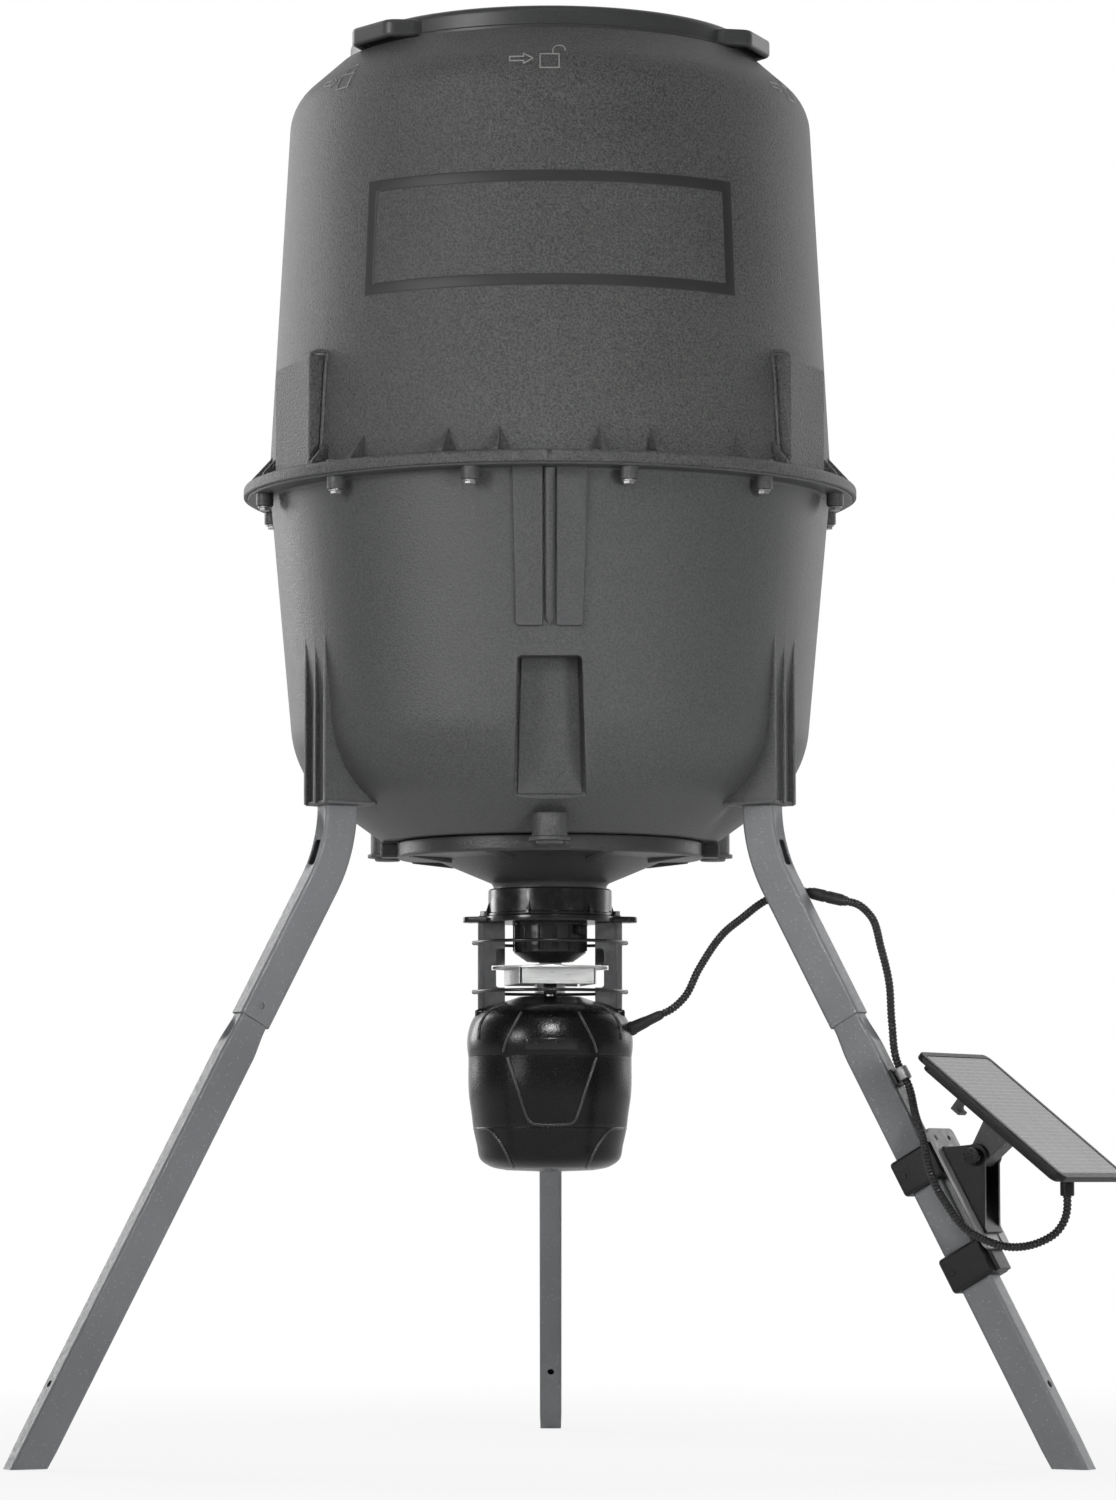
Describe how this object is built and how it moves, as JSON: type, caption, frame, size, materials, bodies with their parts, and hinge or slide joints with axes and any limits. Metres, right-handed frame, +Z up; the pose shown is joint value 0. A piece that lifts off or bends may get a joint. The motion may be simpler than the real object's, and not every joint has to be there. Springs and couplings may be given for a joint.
{
  "type": "spin cast feeder",
  "caption": "Free-standing game feeder: moulded drum hopper with twist lid on tube legs, spinner plate over a timer unit, and a tilting solar panel wired to it by a ribbed cable.",
  "frame": {"origin": "on the ground under the middle of the object's box, with the hopper's axis 17 mm to the left and 106 mm towards the front", "axes": "+Z up, front towards -Y, the leg with the solar panel towards +X and -Y"},
  "size_m": [0.9898, 0.8831, 1.3165],
  "materials": {
    "drum_plastic": "fine-grained dark grey moulded plastic",
    "black_plastic": "satin black moulded plastic",
    "gloss_black": "gloss black paint",
    "rubber": "matt black",
    "zinc_plate": "zinc plated",
    "bright_aluminium": "bright sheet",
    "leg_powder_coat": "speckled grey powder coat",
    "bracket_steel": "dull plated sheet",
    "bracket_grey": "dark grey paint",
    "battery_case": "dark grey case",
    "timer_case": "grey moulded case",
    "display_glass": "blank grey-green display",
    "cable_sheath": "black ribbed conduit",
    "solar_cells": "glazed cells with a fine grid"
  },
  "bodies": {
    "stand": {"hopper_upper": "drum_plastic", "hopper_lower": "drum_plastic", "flange_screw_01": "zinc_plate", "flange_screw_02": "zinc_plate", "flange_screw_03": "zinc_plate", "flange_screw_04": "zinc_plate", "flange_screw_05": "zinc_plate", "flange_screw_06": "zinc_plate", "flange_screw_07": "zinc_plate", "flange_screw_08": "zinc_plate", "flange_screw_09": "zinc_plate", "flange_screw_10": "zinc_plate", "flange_screw_11": "zinc_plate", "flange_screw_12": "zinc_plate", "outlet_funnel": "black_plastic", "upper_leg_left": "leg_powder_coat", "upper_leg_right": "leg_powder_coat", "upper_leg_back": "leg_powder_coat", "lower_leg_left": "leg_powder_coat", "lower_leg_right": "leg_powder_coat", "lower_leg_back": "leg_powder_coat", "collar": "gloss_black", "top_plate": "gloss_black", "plate_bolt_left": "zinc_plate", "plate_bolt_right": "zinc_plate", "strap_left": "gloss_black", "strap_right": "gloss_black", "guard_ring_upper": "gloss_black", "guard_ring_lower": "gloss_black", "nozzle": "gloss_black", "thumb_screw": "zinc_plate", "motor": "zinc_plate", "controller_dome": "black_plastic", "controller_deck": "black_plastic", "battery": "battery_case", "timer_case": "timer_case", "display": "display_glass", "cable_gland": "rubber", "cable_connector": "rubber", "cable_clip": "black_plastic", "cable_lead_a": "cable_sheath", "cable_lead_b": "cable_sheath", "cable_loop": "cable_sheath", "leg_bracket": "black_plastic", "base_plate": "bracket_steel", "arm_fork": "black_plastic", "pivot_bolt": "zinc_plate"},
    "lid_seal": {"lid_gasket": "rubber"},
    "lid": {"lid": "drum_plastic"},
    "spinner": {"spinner_plate": "bright_aluminium", "spinner_hub": "black_plastic", "motor_shaft": "zinc_plate"},
    "cup": {"controller_cup": "black_plastic"},
    "button_1": {"button_1": "rubber"},
    "button_2": {"button_2": "rubber"},
    "button_3": {"button_3": "rubber"},
    "panel": {"panel_yoke": "bracket_grey", "panel_frame": "black_plastic", "panel_glass": "solar_cells"}
  },
  "joints": [
    {"name": "lid_lift", "type": "slide", "parent": "stand", "child": "lid_seal", "axis": [0, 0, 1], "range_m": [0, 0.25]},
    {"name": "lid_twist", "type": "hinge", "parent": "lid_seal", "child": "lid", "pos_m": [-0.0168, -0.1062, 1.3], "axis": [0, 0, 1], "range_deg": [-32, 0]},
    {"name": "spinner_spin", "type": "hinge", "parent": "stand", "child": "spinner", "pos_m": [-0.0168, -0.1062, 0.43], "axis": [0, 0, 1], "continuous": true},
    {"name": "cup_drop", "type": "slide", "parent": "stand", "child": "cup", "axis": [0, 0, -1], "range_m": [0, 0.115]},
    {"name": "button_1_press", "type": "slide", "parent": "stand", "child": "button_1", "axis": [0, 1, 0], "range_m": [0, 0.0012], "stiffness_N_per_m": 300},
    {"name": "button_2_press", "type": "slide", "parent": "stand", "child": "button_2", "axis": [0, 1, 0], "range_m": [0, 0.0012], "stiffness_N_per_m": 300},
    {"name": "button_3_press", "type": "slide", "parent": "stand", "child": "button_3", "axis": [0, 1, 0], "range_m": [0, 0.0012], "stiffness_N_per_m": 300},
    {"name": "panel_tilt", "type": "hinge", "parent": "stand", "child": "panel", "pos_m": [0.36737, -0.328, 0.2732], "axis": [0.5, 0.866, 0], "range_deg": [-15, 25], "deforming": ["cable_loop"]}
  ]
}
